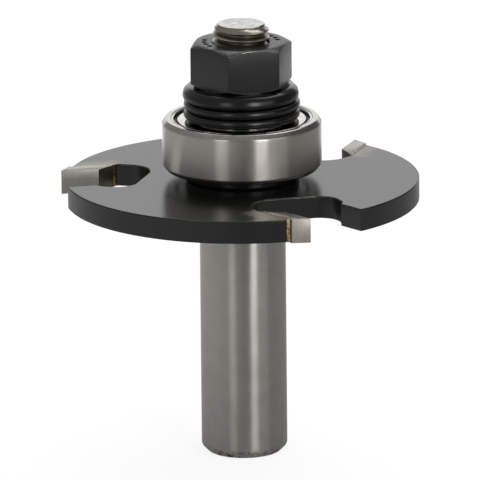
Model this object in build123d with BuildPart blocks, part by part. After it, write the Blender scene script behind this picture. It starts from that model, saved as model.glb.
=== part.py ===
from build123d import *
import math
import os

os.makedirs("parts", exist_ok=True)

# A three-wing slot cutter on its arbor: a shank with a threaded stud that carries
# the cutter, a guide bearing, spacers and a nut. Millimetres and degrees.
# The bit stands on its shank's end: Z runs up the axis, and -Y is the front.

# Arbor
SHANK_DIAMETER = 12.0
SHANK_LENGTH = 36.2
SHANK_END_CHAMFER = 0.95
SHOULDER_CHAMFER = 0.2
STUD_DIAMETER = 7.94
STUD_PROJECTION = 2.55
STUD_END_CHAMFER = 0.8

# Cutter body
CUTTING_DIAMETER = 51.1
TIP_PROJECTION = 0.9
BODY_THICKNESS = 3.15
BODY_BORE_CLEARANCE = 0.03
BODY_EDGE_BREAK = 0.12
WING_COUNT = 3
FIRST_TIP_ANGLE = -68.6

# Carbide tip, ground in place
TIP_THICKNESS = 2.2
TIP_LENGTH = 7.7
RAKE_LENGTH = 5.3
TIP_SIDE_PROUD = 0.12
HOOK_ANGLE = 17.5
RELIEF_ANGLE = 15.0
SIDE_CLEARANCE_ANGLE = 1.0

# Braze metal between a tip and its seat
BRAZE_THICKNESS = 0.45
BRAZE_BEAD = 0.6
BRAZE_SIDE_PROUD = 0.05

# Gullet ahead of each tip, with its depths measured from the body's rim
GULLET_WALL_ANGLE = 6.0
GULLET_DEPTH = 11.45
GULLET_FLOOR_TILT = 8.0
GULLET_TIP_FILLET = 3.7
GULLET_HEEL_FILLET = 2.85
GULLET_REACH = 7.58
GULLET_HEEL_WALL = 3.95
HEEL_STEP = 0.6
HEEL_DEPTH = 4.1

# Spacers
LOWER_SPACER_DIAMETER = 16.0
LOWER_SPACER_THICKNESS = 1.45
LOWER_SPACER_FILLET = 0.3
UPPER_SPACER_DIAMETER = 16.2
THIN_SPACER_THICKNESS = 1.325
TOP_SPACER_THICKNESS = 2.0
UPPER_SPACER_FILLET = 0.6
TOP_SPACER_SHOULDER = 1.3
SPACER_BORE_CLEARANCE = 0.13
# How far each upper spacer has slipped to +X, as a share of its bore clearance.
UPPER_SPACER_SLIPS = (0.2, 0.4, -0.8)

# Guide bearing
BEARING_DIAMETER = 22.2
BEARING_WIDTH = 7.15
BEARING_BORE_CLEARANCE = 0.03
BALL_DIAMETER = 3.969
BALL_COUNT = 7
RACE_GAP = 0.03
RACE_RELIEF = 0.06
RACE_DEPTH = 0.56
OUTER_RING_CHAMFER_HEIGHT = 0.7
OUTER_RING_CHAMFER_WIDTH = 0.5
INNER_RING_CHAMFER = 0.3

# Bearing shields, pressed sheet
SHIELD_THICKNESS = 0.25
SHIELD_SEAT_DEPTH = 0.95
SHIELD_SEAT_WALL = 1.23
SHIELD_FIT_CLEARANCE = 0.02
SHIELD_RIM_RECESS = 0.15
SHIELD_RIM_WIDTH = 0.7
SHIELD_STEP_DROP = 0.35
SHIELD_STEP_WIDTH = 0.4
SHIELD_BEND_RADIUS = 0.3
SHIELD_INNER_GAP = 0.2

# Ball cage, two pressed halves riveted together
CAGE_THICKNESS = 0.3
CAGE_WIDTH = 1.5
CAGE_POCKET_CLEARANCE = 0.06
RIVET_DIAMETER = 0.6
RIVET_HOLE_CLEARANCE = 0.02
RIVET_HEAD_DIAMETER = 1.2
RIVET_HEAD_HEIGHT = 0.25
RIVET_HEAD_CHAMFER = 0.15

# Hexagon nut
NUT_ACROSS_FLATS = 12.7
NUT_HEIGHT = 6.15
NUT_TURN = 15.6
NUT_CHAMFER_ANGLE = 30.0
NUT_FACE_INSET = 0.05
NUT_BORE_CLEARANCE = 0.03
NUT_COUNTERSINK = 0.12

# Heights of the stack on the stud
cutter_bottom = SHANK_LENGTH
cutter_middle = cutter_bottom + BODY_THICKNESS / 2
cutter_top = cutter_bottom + BODY_THICKNESS
bearing_bottom = cutter_top + LOWER_SPACER_THICKNESS
bearing_middle = bearing_bottom + BEARING_WIDTH / 2
bearing_top = bearing_bottom + BEARING_WIDTH
thin_spacer_count = len(UPPER_SPACER_SLIPS) - 1
top_spacer_bottom = bearing_top + thin_spacer_count * THIN_SPACER_THICKNESS
nut_bottom = top_spacer_bottom + TOP_SPACER_THICKNESS
nut_top = nut_bottom + NUT_HEIGHT
stud_top = nut_top + STUD_PROJECTION

# Radii that several pieces share
shank_radius = SHANK_DIAMETER / 2
stud_radius = STUD_DIAMETER / 2
cutting_radius = CUTTING_DIAMETER / 2
body_radius = cutting_radius - TIP_PROJECTION
spacer_bore_radius = stud_radius + SPACER_BORE_CLEARANCE
bearing_bore_radius = stud_radius + BEARING_BORE_CLEARANCE
bearing_radius = BEARING_DIAMETER / 2


# Arbor: the shank and the stud are one turned piece, and the cutter sits on the
# shoulder between them.
with BuildPart() as arbor:
    with BuildSketch(Plane.XZ):
        with BuildLine():
            Polyline(
                (0, 0),
                (shank_radius - SHANK_END_CHAMFER, 0),
                (shank_radius, SHANK_END_CHAMFER),
                (shank_radius, cutter_bottom - SHOULDER_CHAMFER),
                (shank_radius - SHOULDER_CHAMFER, cutter_bottom),
                (stud_radius, cutter_bottom),
                (stud_radius, stud_top - STUD_END_CHAMFER),
                (stud_radius - STUD_END_CHAMFER, stud_top),
                (0, stud_top),
                close=True,
            )
        make_face()
    revolve(axis=Axis.Z)

arbor.part.label = "arbor"
export_step(arbor.part, "parts/arbor.step")


# Plan of one tip and its gullet, with the cutting corner on the +X axis and the
# cutter turning towards +Y.
hook = math.radians(HOOK_ANGLE)
seat_offset = TIP_THICKNESS + BRAZE_THICKNESS
outside = body_radius + BODY_THICKNESS
floor_distance = body_radius - GULLET_DEPTH


def tip_point(inward, behind):
    """Point in the plan, measured from the cutting corner: inward along the rake
    face and behind it."""
    x = cutting_radius - inward * math.cos(hook) + behind * math.sin(hook)
    y = -inward * math.sin(hook) - behind * math.cos(hook)
    return (x, y)


def floor_x(y):
    """Where the gullet's straight floor passes, at a height y in the plan."""
    tilt = math.radians(GULLET_FLOOR_TILT)
    return (floor_distance + y * math.sin(tilt)) / math.cos(tilt)


def wing_plane(number, height):
    """Level plane whose X axis points out through the cutting corner of a wing."""
    angle = math.radians(FIRST_TIP_ANGLE + number * 360 / WING_COUNT)
    outward = (math.cos(angle), math.sin(angle), 0)
    return Plane(origin=(0, 0, height), x_dir=outward, z_dir=(0, 0, 1))


def wing_side_plane(number):
    """Upright plane through the axis and the cutting corner of a wing."""
    level = wing_plane(number, cutter_middle)
    return Plane(origin=level.origin, x_dir=level.x_dir, z_dir=-level.y_dir)


# The seat ends at the inner end of the braze. From there the gullet's wall runs in
# to the floor, and the floor runs on to a wall under the heel of the next wing,
# where a small step leads to the heel's radial face.
seat_end = tip_point(TIP_LENGTH + BRAZE_BEAD, seat_offset)
wall = math.radians(GULLET_WALL_ANGLE)
wall_run = (seat_end[0] - floor_x(seat_end[1])) / (
    math.cos(wall) + math.sin(wall) * math.tan(math.radians(GULLET_FLOOR_TILT))
)
tip_side_corner = (
    seat_end[0] - wall_run * math.cos(wall),
    seat_end[1] + wall_run * math.sin(wall),
)
heel_side_corner = (floor_x(GULLET_REACH), GULLET_REACH)
heel_radius = body_radius - HEEL_DEPTH
heel_sin = (GULLET_REACH - HEEL_STEP) / heel_radius
heel_cos = math.sqrt(1 - heel_sin**2)

with BuildSketch() as gullet_plan:
    with BuildLine():
        FilletPolyline(
            tip_point(-BODY_THICKNESS, seat_offset),
            seat_end,
            tip_side_corner,
            heel_side_corner,
            (heel_side_corner[0] + GULLET_HEEL_WALL, GULLET_REACH),
            (heel_radius * heel_cos, heel_radius * heel_sin),
            (outside * heel_cos, outside * heel_sin),
            radius=[0, 0, GULLET_TIP_FILLET, GULLET_HEEL_FILLET, 0, 0, 0],
            close=True,
        )
    make_face()

# The relief starts at the cutting corner and meets the tip's back.
tip_back = TIP_THICKNESS * math.tan(math.radians(HOOK_ANGLE + RELIEF_ANGLE))

with BuildSketch() as tip_plan:
    with BuildLine():
        Polyline(
            tip_point(0, 0),
            tip_point(RAKE_LENGTH, 0),
            tip_point(TIP_LENGTH, TIP_THICKNESS),
            tip_point(tip_back, TIP_THICKNESS),
            close=True,
        )
    make_face()

# The braze fills the seat behind the tip, flush with the rim, and ends in a bead
# that slopes off the tip's inner corner.
with BuildSketch() as braze_plan:
    with BuildLine():
        Polyline(
            tip_point(-BODY_THICKNESS, TIP_THICKNESS),
            tip_point(TIP_LENGTH, TIP_THICKNESS),
            seat_end,
            tip_point(-BODY_THICKNESS, seat_offset),
            close=True,
        )
    make_face()
    Circle(body_radius, mode=Mode.INTERSECT)


# Cutter body: a ground steel disc with three gullets. Every sharp edge of its
# outline is broken, except along the seats, which the braze fills.
with BuildPart() as cutter_body:
    with BuildSketch(Plane.XY.offset(cutter_bottom)):
        Circle(body_radius)
        with PolarLocations(0, WING_COUNT, start_angle=FIRST_TIP_ANGLE):
            add(gullet_plan.sketch, mode=Mode.SUBTRACT)
        Circle(stud_radius + BODY_BORE_CLEARANCE, mode=Mode.SUBTRACT)
    extrude(amount=BODY_THICKNESS)
    seat_middle = tip_point(TIP_LENGTH / 2, seat_offset)
    outline = ShapeList()
    for face in cutter_body.faces().filter_by(Axis.Z):
        rim = face.outer_wire().edges()
        for number in range(WING_COUNT):
            seat = wing_plane(number, face.center().Z).from_local_coords(seat_middle)
            rim.remove(rim.sort_by_distance(seat)[0])
        outline.extend(rim)
    chamfer(outline, BODY_EDGE_BREAK)

cutter_body.part.label = "cutter_body"
export_step(cutter_body.part, "parts/cutter_body.step")


# Carbide tips and their braze joints. A tip is thickest at its cutting edge and
# narrows towards the axis, so that only its corners touch the sides of the slot.
tip_half_height = BODY_THICKNESS / 2 + TIP_SIDE_PROUD
tip_narrowing = math.tan(math.radians(SIDE_CLEARANCE_ANGLE))
tip_root = cutting_radius - TIP_LENGTH
root_half_height = tip_half_height - TIP_LENGTH * tip_narrowing
braze_height = BODY_THICKNESS + 2 * BRAZE_SIDE_PROUD

for wing in range(WING_COUNT):
    with BuildPart() as carbide_tip:
        with BuildSketch(wing_plane(wing, cutter_middle)):
            add(tip_plan.sketch)
        extrude(amount=tip_half_height, both=True)
        with BuildSketch(wing_side_plane(wing)):
            with BuildLine():
                Polyline(
                    (tip_root, -root_half_height),
                    (cutting_radius, -tip_half_height),
                    (cutting_radius, tip_half_height),
                    (tip_root, root_half_height),
                    close=True,
                )
            make_face()
        extrude(amount=TIP_LENGTH, both=True, mode=Mode.INTERSECT)

    tip_name = f"carbide_tip_{wing + 1}"
    carbide_tip.part.label = tip_name
    export_step(carbide_tip.part, f"parts/{tip_name}.step")

    with BuildPart() as braze_joint:
        with BuildSketch(wing_plane(wing, cutter_middle)):
            add(braze_plan.sketch)
        extrude(amount=braze_height / 2, both=True)

    joint_name = f"braze_joint_{wing + 1}"
    braze_joint.part.label = joint_name
    export_step(braze_joint.part, f"parts/{joint_name}.step")


# Lower spacer, between the cutter and the bearing's inner ring
with BuildPart() as lower_spacer:
    with BuildSketch(Plane.XY.offset(cutter_top)):
        Circle(LOWER_SPACER_DIAMETER / 2)
        Circle(spacer_bore_radius, mode=Mode.SUBTRACT)
    extrude(amount=LOWER_SPACER_THICKNESS)
    rims = lower_spacer.edges().filter_by(GeomType.CIRCLE).sort_by(SortBy.RADIUS)[-2:]
    fillet(rims, LOWER_SPACER_FILLET)

lower_spacer.part.label = "lower_spacer"
export_step(lower_spacer.part, "parts/lower_spacer.step")


# Bearing races. The balls run on the circle midway between bore and rim, with a
# running gap to both grooves.
pitch_radius = (bearing_bore_radius + bearing_radius) / 2
ball_radius = BALL_DIAMETER / 2
race_radius = ball_radius + RACE_RELIEF
inner_land_radius = pitch_radius - ball_radius - RACE_GAP + RACE_DEPTH
outer_land_radius = pitch_radius + ball_radius + RACE_GAP - RACE_DEPTH
inner_race_centre = inner_land_radius - RACE_DEPTH + race_radius
outer_race_centre = outer_land_radius + RACE_DEPTH - race_radius
shield_seat_radius = bearing_radius - SHIELD_SEAT_WALL

with BuildPart() as bearing_inner_ring:
    with BuildSketch(Plane.XZ) as inner_ring_section:
        inner_wall = inner_land_radius - bearing_bore_radius
        with Locations((bearing_bore_radius + inner_wall / 2, bearing_middle)):
            Rectangle(inner_wall, BEARING_WIDTH)
        bore_corners = inner_ring_section.vertices().group_by(Axis.X)[0]
        chamfer(bore_corners, INNER_RING_CHAMFER)
        with Locations((inner_race_centre, bearing_middle)):
            Circle(race_radius, mode=Mode.SUBTRACT)
    revolve(axis=Axis.Z)

bearing_inner_ring.part.label = "bearing_inner_ring"
export_step(bearing_inner_ring.part, "parts/bearing_inner_ring.step")

with BuildPart() as bearing_outer_ring:
    with BuildSketch(Plane.XZ) as outer_ring_section:
        outer_wall = bearing_radius - outer_land_radius
        with Locations((bearing_radius - outer_wall / 2, bearing_middle)):
            Rectangle(outer_wall, BEARING_WIDTH)
        rim_corners = outer_ring_section.vertices().group_by(Axis.X)[-1]
        chamfer(rim_corners, OUTER_RING_CHAMFER_HEIGHT, OUTER_RING_CHAMFER_WIDTH)
        seat_width = 2 * (shield_seat_radius - outer_land_radius)
        with Locations((outer_land_radius, bearing_bottom), (outer_land_radius, bearing_top)):
            Rectangle(seat_width, 2 * SHIELD_SEAT_DEPTH, mode=Mode.SUBTRACT)
        with Locations((outer_race_centre, bearing_middle)):
            Circle(race_radius, mode=Mode.SUBTRACT)
    revolve(axis=Axis.Z)

bearing_outer_ring.part.label = "bearing_outer_ring"
export_step(bearing_outer_ring.part, "parts/bearing_outer_ring.step")


# Bearing balls, one node each
for number in range(BALL_COUNT):
    ball_angle = math.radians(number * 360 / BALL_COUNT)
    ball_x = pitch_radius * math.cos(ball_angle)
    ball_y = pitch_radius * math.sin(ball_angle)
    with BuildPart() as bearing_ball:
        with Locations((ball_x, ball_y, bearing_middle)):
            Sphere(ball_radius)

    ball_name = f"bearing_ball_{number + 1}"
    bearing_ball.part.label = ball_name
    export_step(bearing_ball.part, f"parts/{ball_name}.step")


# Ball cage: a pressed ribbon that bulges round each ball and lies flat between
# them, where a rivet holds the two halves together. A half is shaped on the base
# plane, so that its form is the same at any height, and then set in the bearing.
pocket_radius = ball_radius + CAGE_POCKET_CLEARANCE
bulge_radius = pocket_radius + CAGE_THICKNESS
rivet_start_angle = 180 / BALL_COUNT

with BuildPart() as cage_half:
    with BuildSketch() as ribbon_plan:
        Circle(pitch_radius + CAGE_WIDTH / 2)
        Circle(pitch_radius - CAGE_WIDTH / 2, mode=Mode.SUBTRACT)
    extrude(amount=CAGE_THICKNESS)
    with PolarLocations(pitch_radius, BALL_COUNT):
        Sphere(bulge_radius)
    extrude(ribbon_plan.sketch, amount=bulge_radius, mode=Mode.INTERSECT)
    with PolarLocations(pitch_radius, BALL_COUNT):
        Sphere(pocket_radius, mode=Mode.SUBTRACT)
    with PolarLocations(pitch_radius, BALL_COUNT, start_angle=rivet_start_angle):
        Hole(RIVET_DIAMETER / 2 + RIVET_HOLE_CLEARANCE)

with BuildPart() as cage_upper:
    with Locations((0, 0, bearing_middle)):
        add(cage_half.part)

cage_upper.part.label = "cage_upper"
export_step(cage_upper.part, "parts/cage_upper.step")

with BuildPart() as cage_lower:
    mirror(cage_upper.part, about=Plane.XY.offset(bearing_middle))

cage_lower.part.label = "cage_lower"
export_step(cage_lower.part, "parts/cage_lower.step")

with BuildPart() as cage_rivets:
    with BuildSketch(Plane.XY.offset(bearing_middle)):
        with PolarLocations(pitch_radius, BALL_COUNT, start_angle=rivet_start_angle):
            Circle(RIVET_DIAMETER / 2)
    extrude(amount=CAGE_THICKNESS, both=True)
    with BuildSketch(Plane.XY.offset(bearing_middle + CAGE_THICKNESS)):
        with PolarLocations(pitch_radius, BALL_COUNT, start_angle=rivet_start_angle):
            Circle(RIVET_HEAD_DIAMETER / 2)
    extrude(amount=RIVET_HEAD_HEIGHT)
    head_tops = cage_rivets.faces().group_by(Axis.Z)[-1].edges()
    chamfer(head_tops, RIVET_HEAD_CHAMFER)
    mirror(about=Plane.XY.offset(bearing_middle))

cage_rivets.part.label = "cage_rivets"
export_step(cage_rivets.part, "parts/cage_rivets.step")


# Bearing shields: sheet pressed into the outer ring's seat. The rim folds down to
# the seat, and a step leads to the flat plate, which clears the inner ring.
shield_rim_radius = shield_seat_radius - SHIELD_FIT_CLEARANCE
shield_rim_height = bearing_top - SHIELD_RIM_RECESS
shield_plate_height = shield_rim_height - SHIELD_STEP_DROP
step_top_radius = shield_rim_radius - SHIELD_RIM_WIDTH
step_foot_radius = step_top_radius - SHIELD_STEP_WIDTH
shield_inner_radius = inner_land_radius + SHIELD_INNER_GAP

with BuildPart() as shield_upper:
    with BuildSketch(Plane.XZ):
        with BuildLine():
            FilletPolyline(
                (shield_rim_radius, bearing_top - SHIELD_SEAT_DEPTH),
                (shield_rim_radius, shield_rim_height),
                (step_top_radius, shield_rim_height),
                (step_foot_radius, shield_plate_height),
                (shield_inner_radius, shield_plate_height),
                radius=SHIELD_BEND_RADIUS,
            )
            offset(amount=SHIELD_THICKNESS, side=Side.LEFT)
        make_face()
    revolve(axis=Axis.Z)

shield_upper.part.label = "shield_upper"
export_step(shield_upper.part, "parts/shield_upper.step")

with BuildPart() as shield_lower:
    mirror(shield_upper.part, about=Plane.XY.offset(bearing_middle))

shield_lower.part.label = "shield_lower"
export_step(shield_lower.part, "parts/shield_lower.step")


# Upper spacers: thin ones with well rounded rims, and a thick one on top whose upper
# rim is a round shoulder. Each has slipped a little to one side.
for level, slip in enumerate(UPPER_SPACER_SLIPS):
    spacer_bottom = bearing_top + level * THIN_SPACER_THICKNESS
    thickness = THIN_SPACER_THICKNESS
    shoulder = UPPER_SPACER_FILLET
    if level == thin_spacer_count:
        thickness = TOP_SPACER_THICKNESS
        shoulder = TOP_SPACER_SHOULDER
    with BuildPart() as upper_spacer:
        with BuildSketch(Plane.XY.offset(spacer_bottom)):
            with Locations((slip * SPACER_BORE_CLEARANCE, 0)):
                Circle(UPPER_SPACER_DIAMETER / 2)
                Circle(spacer_bore_radius, mode=Mode.SUBTRACT)
        extrude(amount=thickness)
        lower_face = upper_spacer.faces().sort_by(Axis.Z)[0]
        fillet(lower_face.edges().sort_by(SortBy.RADIUS)[-1], UPPER_SPACER_FILLET)
        upper_face = upper_spacer.faces().sort_by(Axis.Z)[-1]
        fillet(upper_face.edges().sort_by(SortBy.RADIUS)[-1], shoulder)

    spacer_name = f"upper_spacer_{level + 1}"
    upper_spacer.part.label = spacer_name
    export_step(upper_spacer.part, f"parts/{spacer_name}.step")


# Hexagon nut, with its corners chamfered at both ends and its bore countersunk
nut_bore_radius = stud_radius + NUT_BORE_CLEARANCE
nut_corner_radius = NUT_ACROSS_FLATS / math.sqrt(3)
nut_face_radius = NUT_ACROSS_FLATS / 2 - NUT_FACE_INSET
chamfer_reach = nut_corner_radius - nut_face_radius + NUT_FACE_INSET
chamfer_height = chamfer_reach * math.tan(math.radians(NUT_CHAMFER_ANGLE))

with BuildPart() as hex_nut:
    with BuildSketch(Plane.XY.offset(nut_bottom)):
        RegularPolygon(nut_corner_radius, 6, rotation=NUT_TURN)
    extrude(amount=NUT_HEIGHT)
    with BuildSketch(Plane.XZ):
        with BuildLine():
            Polyline(
                (nut_bore_radius + NUT_COUNTERSINK, nut_bottom),
                (nut_face_radius, nut_bottom),
                (nut_face_radius + chamfer_reach, nut_bottom + chamfer_height),
                (nut_face_radius + chamfer_reach, nut_top - chamfer_height),
                (nut_face_radius, nut_top),
                (nut_bore_radius + NUT_COUNTERSINK, nut_top),
                (nut_bore_radius, nut_top - NUT_COUNTERSINK),
                (nut_bore_radius, nut_bottom + NUT_COUNTERSINK),
                close=True,
            )
        make_face()
    revolve(axis=Axis.Z, mode=Mode.INTERSECT)

hex_nut.part.label = "hex_nut"
export_step(hex_nut.part, "parts/hex_nut.step")
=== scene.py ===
import math

import bmesh
import bpy
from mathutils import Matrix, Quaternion, Vector, noise


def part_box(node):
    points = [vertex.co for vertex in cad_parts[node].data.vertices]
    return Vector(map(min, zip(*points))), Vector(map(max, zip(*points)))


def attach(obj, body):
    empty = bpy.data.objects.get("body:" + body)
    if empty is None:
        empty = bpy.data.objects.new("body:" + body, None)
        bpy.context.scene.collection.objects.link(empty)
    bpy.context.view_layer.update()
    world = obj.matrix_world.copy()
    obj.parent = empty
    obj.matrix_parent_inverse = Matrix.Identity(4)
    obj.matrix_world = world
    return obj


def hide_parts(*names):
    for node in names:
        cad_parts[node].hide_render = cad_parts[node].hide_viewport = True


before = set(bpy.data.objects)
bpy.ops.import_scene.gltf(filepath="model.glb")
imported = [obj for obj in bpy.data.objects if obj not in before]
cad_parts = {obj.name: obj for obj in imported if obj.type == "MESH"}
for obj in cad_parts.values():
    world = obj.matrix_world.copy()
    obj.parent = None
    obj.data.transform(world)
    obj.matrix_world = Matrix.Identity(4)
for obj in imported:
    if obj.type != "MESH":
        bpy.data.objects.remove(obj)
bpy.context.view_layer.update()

# A slot cutter on its arbor, with a guide bearing, spacers and a nut, standing on the
# end of its shank. Z runs up the axis, and -Y is the front. Sizes are millimetres times MM.
MM = 0.001

# Places and sizes taken from the frame
arbor_low, arbor_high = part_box("arbor")
cutter_low, cutter_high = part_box("cutter_body")
bearing_low, bearing_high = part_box("bearing_outer_ring")
nut_low, nut_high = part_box("hex_nut")
shank_radius = arbor_high.x
bearing_radius = bearing_high.x
bearing_middle = (bearing_low.z + bearing_high.z) / 2

# Arbor
SHANK_END_CHAMFER = 0.95 * MM
SHANK_EDGE_ROUNDING = 0.25 * MM
SHANK_STAIN_TOP = 1.52 * MM
SHANK_STAIN_FULL = 0.475 * MM
SHOULDER_CHAMFER = 0.2 * MM
STUD_RADIUS = 3.97 * MM
STUD_END_CHAMFER = 0.8 * MM
JOURNAL_TOP = 49.16 * MM
THREAD_PITCH = 1.058 * MM
THREAD_DEPTH = 0.6 * MM
THREAD_CREST = 0.13 * MM
THREAD_ROOT = 0.24 * MM
THREAD_STEPS = 72
THREAD_CHAMFER_CUTS = 10
THREAD_DUST_DEPTH = 0.55 * MM
THREAD_RUBBED_DEPTH = 0.2 * MM
THREAD_DUST_UNEVENNESS = 0.3 * MM

# Wings of the cutter
WING_COUNT = 3
FIRST_TIP_ANGLE = math.radians(-68.6)
CUTTING_RADIUS = 25.55 * MM
HOOK_ANGLE = math.radians(17.5)
TIP_EDGE_ROUNDING = 0.06 * MM
BRAZE_EDGE_ROUNDING = 0.14 * MM
BRAZE_UNEVENNESS = 0.05 * MM
BRAZE_LONG_EDGE = 0.5 * MM
BRAZE_CUTS = 9
WORN_EDGE_WIDTH = 0.12 * MM
WORN_EDGE_FULL_RADIUS = CUTTING_RADIUS - 1.7 * MM
WORN_EDGE_LAST_RADIUS = CUTTING_RADIUS - 1.2 * MM
# Where grinding a tip bared the disc beside it. Distances are from the cutting corner, and
# each pair says where the steel is fully bare and where the coating is whole. The two outer
# borders also wander by up to the raggedness.
BARE_BEHIND_RAKE = (4.2 * MM, 6.4 * MM)
BARE_FROM_RAKE = (2.0 * MM, 1.5 * MM)
BARE_INWARD = (8.6 * MM, 10.4 * MM)
BARE_OUTWARD = (-2.0 * MM, -3.0 * MM)
BARE_RAGGEDNESS = 1.6 * MM

# Spacers
SPACER_BORE_RADIUS = 4.1 * MM
SPACER_BORE_BREAK = 0.15 * MM
LOWER_SPACER_FILLET = 0.3 * MM
UPPER_SPACER_FILLET = 0.6 * MM
TOP_SPACER_SHOULDER = 1.3 * MM

# Guide bearing
RING_CHAMFER_HEIGHT = 0.7 * MM
RING_CHAMFER_WIDTH = 0.5 * MM
RING_EDGE_ROUNDING = 0.12 * MM
RING_LAND_RADIUS = 9.0 * MM
RACE_RADIUS = 2.04 * MM
RACE_DEPTH = 0.56 * MM
SHIELD_SEAT_RADIUS = 9.87 * MM
SHIELD_SEAT_DEPTH = 0.95 * MM
SHIELD_SHEET = 0.25 * MM
SHIELD_BEAD_WIDTH = 0.36 * MM
SHIELD_GROOVE_WIDTH = 0.54 * MM
SHIELD_GROOVE_DEPTH = 0.42 * MM
SHIELD_GROOVE_SLOPE = 0.08 * MM
SHIELD_PLATE_DROP = 0.12 * MM
SHIELD_BEAD_DROP = 0.02 * MM
SHIELD_BEND = 0.06 * MM
SHIELD_INNER_GAP = 0.2 * MM

# Hexagon nut
NUT_ACROSS_FLATS = 12.7 * MM
NUT_TURN = math.radians(15.6)
NUT_CHAMFER_ANGLE = math.radians(30)
NUT_FACE_INSET = 0.05 * MM
NUT_BORE_RADIUS = 4.0 * MM
NUT_COUNTERSINK = 0.12 * MM
NUT_EDGE_ROUNDING = 0.12 * MM
NUT_ARC_ROUNDING = 0.07 * MM
NUT_STEPS_PER_FLAT = 24
NUT_MARK_RADIUS = 5.1 * MM
NUT_MARK_SIZE = 0.85 * MM
NUT_MARK_DEPTH = 0.15 * MM
NUT_MARK_RINGS = 10
NUT_MARK_TURNS = (170, 184, 198, 212, 8, 22, 36)
nut_marks = [
    Quaternion((0, 0, 1), math.radians(turn)) @ Vector((NUT_MARK_RADIUS, 0, nut_high.z))
    for turn in NUT_MARK_TURNS
]

# Steps round a full turn and in a small rounding, and limits for merging and shading
TURN_STEPS = 160
ROUNDING_STEPS = 3
MERGE_DISTANCE = 0.002 * MM
SHARP_ANGLE = math.radians(32)


# Finishes

def linear(hex_colour):
    """The linear colour of an sRGB hex value."""
    channels = [int(hex_colour[i:i + 2], 16) / 255 for i in (1, 3, 5)]
    return [c / 12.92 if c <= 0.04045 else ((c + 0.055) / 1.055) ** 2.4 for c in channels] + [1]


def add(tree, kind, inputs=None, **settings):
    """Adds a node with its settings. An input takes a number, a vector, a hex colour, an
    output, or a node, which stands for its first output."""
    new = tree.nodes.new("ShaderNode" + kind)
    for name, value in settings.items():
        setattr(new, name, value)
    for key, value in (inputs or {}).items():
        named = [s for s in new.inputs if s.enabled and s.name == key]
        socket = new.inputs[key] if isinstance(key, int) else named[0]
        if isinstance(value, bpy.types.Node):
            value = next(output for output in value.outputs if output.enabled)
        if isinstance(value, bpy.types.NodeSocket):
            tree.links.new(value, socket)
        else:
            socket.default_value = linear(value) if isinstance(value, str) else value
    return new


def new_material(name, **sockets):
    """A material whose shader has these constant values. Gives back the material, its node
    tree, its shader and the piece's own coordinates."""
    material = bpy.data.materials.new(name)
    material.use_nodes = True
    tree = material.node_tree
    shader = tree.nodes["Principled BSDF"]
    for socket, value in sockets.items():
        shader.inputs[socket.replace("_", " ")].default_value = value
    place = add(tree, "TexCoord").outputs["Object"]
    return material, tree, shader, place


def wire(tree, shader, **outputs):
    """Links each node's first output to the shader's socket of that name."""
    for socket, node in outputs.items():
        output = next(o for o in node.outputs if o.enabled)
        tree.links.new(output, shader.inputs[socket.replace("_", " ")])


def grains(size):
    """The noise scale whose grains are that many millimetres across."""
    return 1 / (size * MM)


def ground_steel(name, dark, light, roughness, anisotropy):
    """Hardened bare steel, ground between wheels. The fine grain round the axis draws every
    lamp out into a soft upright band, with slightly cloudy patches left by handling."""
    material, tree, shader, place = new_material(
        name, Metallic=1.0, Anisotropic=anisotropy, Anisotropic_Rotation=0.25
    )
    # Real grinding lines are about 0.02 mm apart: these are drawn at 0.14 mm, so they show.
    round_axis = add(tree, "Mapping", {"Vector": place, "Scale": (0.04, 0.04, 1)})
    lines = add(tree, "TexNoise", {"Vector": round_axis, "Scale": grains(0.14), "Detail": 4})
    clouds = add(tree, "TexNoise", {"Vector": place, "Scale": grains(2.5), "Detail": 6})
    mottle = add(tree, "Mix", {"Factor": 0.25, "A": clouds, "B": lines})
    share = add(tree, "MapRange", {"Value": mottle, "From Min": 0.35, "From Max": 0.65})
    colour = add(tree, "Mix", {"Factor": share, "A": dark, "B": light}, data_type="RGBA")
    rough = add(
        tree, "MapRange",
        {"Value": clouds, "From Min": 0.3, "From Max": 0.7,
         "To Min": roughness - 0.02, "To Max": roughness + 0.02},
    )
    bump = add(tree, "Bump", {"Height": lines, "Distance": 0.0002 * MM, "Strength": 1.0})
    tangent = add(tree, "Tangent", direction_type="RADIAL", axis="Z")
    wire(tree, shader, Base_Color=colour, Roughness=rough, Normal=bump, Tangent=tangent)
    return material


def stain_foot(material):
    """Adds brown specks round the shank's end, where it has stood in damp."""
    tree = material.node_tree
    shader = tree.nodes["Principled BSDF"]
    place = next(n for n in tree.nodes if n.type == "TEX_COORD").outputs["Object"]
    clean = shader.inputs["Base Color"].links[0].from_socket
    height = add(tree, "SeparateXYZ", {"Vector": place}).outputs["Z"]
    low = add(
        tree, "MapRange",
        {"Value": height, "From Min": SHANK_STAIN_TOP, "From Max": SHANK_STAIN_FULL},
    )
    specks = add(tree, "TexNoise", {"Vector": place, "Scale": grains(0.6), "Detail": 5})
    spotted = add(tree, "MapRange", {"Value": specks, "From Min": 0.5, "From Max": 0.6})
    stain = add(tree, "Math", {0: low, 1: spotted}, operation="MULTIPLY")
    colour = add(tree, "Mix", {"Factor": stain, "A": clean, "B": "#5d4a3a"}, data_type="RGBA")
    wire(tree, shader, Base_Color=colour)


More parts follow.
